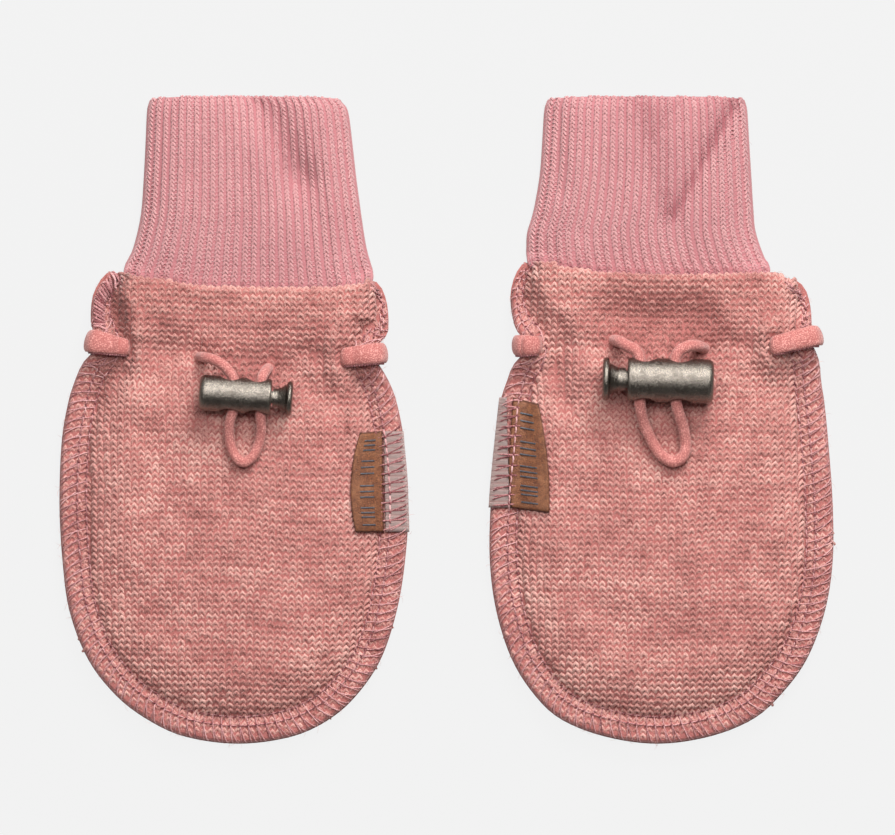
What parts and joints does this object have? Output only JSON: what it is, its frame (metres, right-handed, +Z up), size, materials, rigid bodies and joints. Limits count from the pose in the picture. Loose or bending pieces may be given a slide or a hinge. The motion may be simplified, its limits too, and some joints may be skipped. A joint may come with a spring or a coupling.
{
  "type": "pair of baby mittens",
  "caption": "Pair of flat-laid baby mittens: rounded knit hand, rib cuff, outside overlock seam, and an elastic drawcord through a sprung cord lock.",
  "frame": {"origin": "middle of the pair's footprint, on the surface it lies on", "axes": "+X across the pair from the left mitten to the right one, +Y from the fingertips towards the cuffs, +Z up out of the surface"},
  "size_m": [0.1742, 0.1458, 0.019],
  "materials": {
    "felted_knit": "dusty pink melange felted wool knit, fuzzy",
    "rib_knit": "soft pink rib knit, matt",
    "elastic": "velvety pink elastic",
    "leather": "brown, slightly worn",
    "ribbon": "woven tape, satin",
    "antique_silver": "antiqued, semi-gloss"
  },
  "bodies": {
    "mittens": {"left_front_panel": "felted_knit", "left_back_panel": "felted_knit", "left_cuff": "rib_knit", "left_side_loop_left": "elastic", "left_side_loop_right": "elastic", "left_drawcord": "elastic", "left_lock_barrel": "antique_silver", "left_label": "leather", "left_label_ribbon": "ribbon", "right_front_panel": "felted_knit", "right_back_panel": "felted_knit", "right_cuff": "rib_knit", "right_side_loop_left": "elastic", "right_side_loop_right": "elastic", "right_drawcord": "elastic", "right_lock_barrel": "antique_silver", "right_label": "leather", "right_label_ribbon": "ribbon"},
    "left_plunger": {"left_lock_plunger": "antique_silver"},
    "right_plunger": {"right_lock_plunger": "antique_silver"}
  },
  "joints": [
    {"name": "left_press", "type": "slide", "parent": "mittens", "child": "left_plunger", "axis": [-0.9977, 0.068, 0], "range_m": [0, 0.0012], "stiffness_N_per_m": 400, "springref_m": -0.002},
    {"name": "right_press", "type": "slide", "parent": "mittens", "child": "right_plunger", "axis": [0.9997, -0.0253, 0], "range_m": [0, 0.0015], "stiffness_N_per_m": 400, "springref_m": -0.002}
  ]
}
